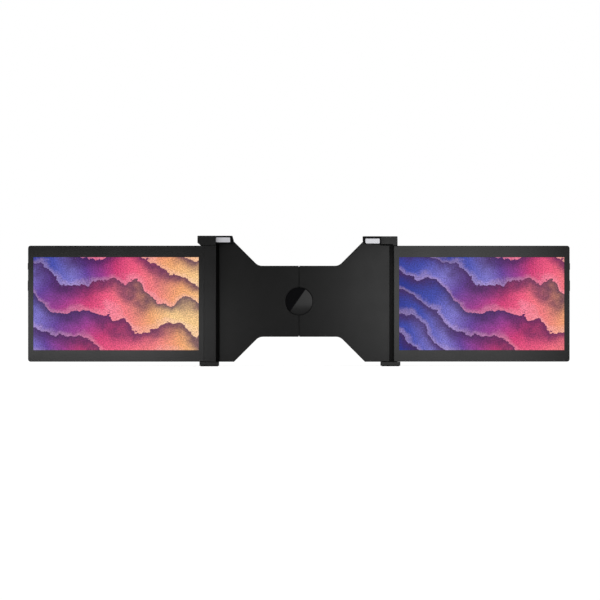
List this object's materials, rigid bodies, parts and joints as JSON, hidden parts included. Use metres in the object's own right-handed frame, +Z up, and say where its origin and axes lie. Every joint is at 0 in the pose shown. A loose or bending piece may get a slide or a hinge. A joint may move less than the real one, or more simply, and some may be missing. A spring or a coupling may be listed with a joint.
{
  "type": "laptop screen extender",
  "caption": "Folding dual-screen extender: two hinged displays on a telescoping back plate with lid clips, feet and a kickstand.",
  "frame": {"origin": "on the desk plane, in the middle of the object's footprint box", "axes": "+X to the viewer's right along the screens, +Y away from the viewer, +Z up"},
  "size_m": [0.842, 0.0392, 0.2028],
  "materials": {
    "black_abs": "finely textured moulded ABS, black",
    "black_aluminium": "black powder-coated aluminium",
    "gloss_black": "polished black with a satin half",
    "display": "anti-glare display panel, lit",
    "backlight": "white light guide in a pressed frame",
    "board_green": "solder-resist green",
    "silver": "brushed silver badge plate, bare",
    "steel": "turned steel",
    "steel_bar": "stamped steel bar",
    "brass": "plain turned bush",
    "acetal": "natural acetal",
    "rubber": "black rubber pad"
  },
  "bodies": {
    "carrier": {"carrier_plate": "black_abs", "carrier_back_cover": "black_abs", "carrier_screws": "steel", "centre_disc": "gloss_black", "pinion_axle": "steel", "kickstand_brackets": "black_aluminium"},
    "pinion": {"drive_pinion": "acetal"},
    "kickstand": {"kickstand_leg": "black_aluminium", "kickstand_tip": "rubber", "kickstand_pin": "steel"},
    "left_wing": {"left_wing_shell": "black_abs", "left_wing_back": "black_abs", "left_wing_screws": "steel", "left_post": "black_aluminium", "left_post_screws": "steel", "left_foot_pad": "rubber", "left_hinge_bushes": "brass", "left_rack_bar": "steel_bar", "left_guide_bar": "steel_bar", "left_clip_spring": "steel"},
    "left_clip": {"left_clip_hook": "black_aluminium", "left_clip_plate": "silver", "left_clip_pad": "rubber"},
    "left_screen": {"left_screen_bezel": "black_abs", "left_screen_rear_cover": "black_abs", "left_screen_lcd_panel": "display", "left_screen_backlight": "backlight", "left_screen_control_board": "board_green", "left_screen_port_sockets": "steel", "left_screen_cover_screws": "steel", "left_hinge_pins": "steel", "left_screen_hinge_bar": "black_aluminium", "left_screen_bar_screws": "steel"},
    "left_power_button": {"left_screen_power_button": "black_abs"},
    "left_menu_rocker": {"left_screen_menu_rocker": "black_abs"},
    "right_wing": {"right_wing_shell": "black_abs", "right_wing_back": "black_abs", "right_wing_screws": "steel", "right_post": "black_aluminium", "right_post_screws": "steel", "right_foot_pad": "rubber", "right_hinge_bushes": "brass", "right_rack_bar": "steel_bar", "right_guide_bar": "steel_bar", "right_clip_spring": "steel"},
    "right_clip": {"right_clip_hook": "black_aluminium", "right_clip_plate": "silver", "right_clip_pad": "rubber"},
    "right_screen": {"right_screen_bezel": "black_abs", "right_screen_rear_cover": "black_abs", "right_screen_lcd_panel": "display", "right_screen_backlight": "backlight", "right_screen_control_board": "board_green", "right_screen_port_sockets": "steel", "right_screen_cover_screws": "steel", "right_hinge_pins": "steel"},
    "right_power_button": {"right_screen_power_button": "black_abs"},
    "right_menu_rocker": {"right_screen_menu_rocker": "black_abs"}
  },
  "joints": [
    {"name": "left_wing_slide", "type": "slide", "parent": "carrier", "child": "left_wing", "axis": [-1, 0, 0], "range_m": [0, 0.045]},
    {"name": "right_wing_slide", "type": "slide", "parent": "carrier", "child": "right_wing", "axis": [1, 0, 0], "range_m": [0, 0.045]},
    {"name": "pinion_spin", "type": "hinge", "parent": "carrier", "child": "pinion", "pos_m": [0, 0.0109, 0.101], "axis": [0, 1, 0], "range_deg": [-257.84, 0]},
    {"name": "kickstand_fold", "type": "hinge", "parent": "carrier", "child": "kickstand", "pos_m": [0, 0.0168, 0.058], "axis": [-1, 0, 0], "range_deg": [0, 126]},
    {"name": "left_screen_hinge", "type": "hinge", "parent": "left_wing", "child": "left_screen", "pos_m": [-0.1381, -0.0161, 0.0973], "axis": [0, 0, 1], "range_deg": [0, 180]},
    {"name": "left_clip_slide", "type": "slide", "parent": "left_wing", "child": "left_clip", "axis": [0, 0, 1], "range_m": [0, 0.012], "stiffness_N_per_m": 150, "springref_m": -0.01, "deforming": ["left_clip_spring"]},
    {"name": "left_power_press", "type": "slide", "parent": "left_screen", "child": "left_power_button", "axis": [1, 0, 0], "range_m": [0, 0.0005], "stiffness_N_per_m": 600, "springref_m": -0.0005},
    {"name": "left_menu_tilt", "type": "hinge", "parent": "left_screen", "child": "left_menu_rocker", "pos_m": [-0.4175, -0.0129, 0.1253], "axis": [0, 1, 0], "range_deg": [-3, 3], "stiffness_Nm_per_rad": 0.05},
    {"name": "right_screen_hinge", "type": "hinge", "parent": "right_wing", "child": "right_screen", "pos_m": [0.15, -0.0046, 0.0973], "axis": [0, 0, -1], "range_deg": [0, 180]},
    {"name": "right_clip_slide", "type": "slide", "parent": "right_wing", "child": "right_clip", "axis": [0, 0, 1], "range_m": [0, 0.012], "stiffness_N_per_m": 150, "springref_m": -0.01, "deforming": ["right_clip_spring"]},
    {"name": "right_power_press", "type": "slide", "parent": "right_screen", "child": "right_power_button", "axis": [-1, 0, 0], "range_m": [0, 0.0005], "stiffness_N_per_m": 600, "springref_m": -0.0005},
    {"name": "right_menu_tilt", "type": "hinge", "parent": "right_screen", "child": "right_menu_rocker", "pos_m": [0.4175, -0.0009, 0.1253], "axis": [0, 1, 0], "range_deg": [-3, 3], "stiffness_Nm_per_rad": 0.05}
  ],
  "couplings": [
    {"joint": "right_wing_slide", "follows": "left_wing_slide", "ratio": 1},
    {"joint": "pinion_spin", "follows": "left_wing_slide", "rad_per_m": -100}
  ]
}
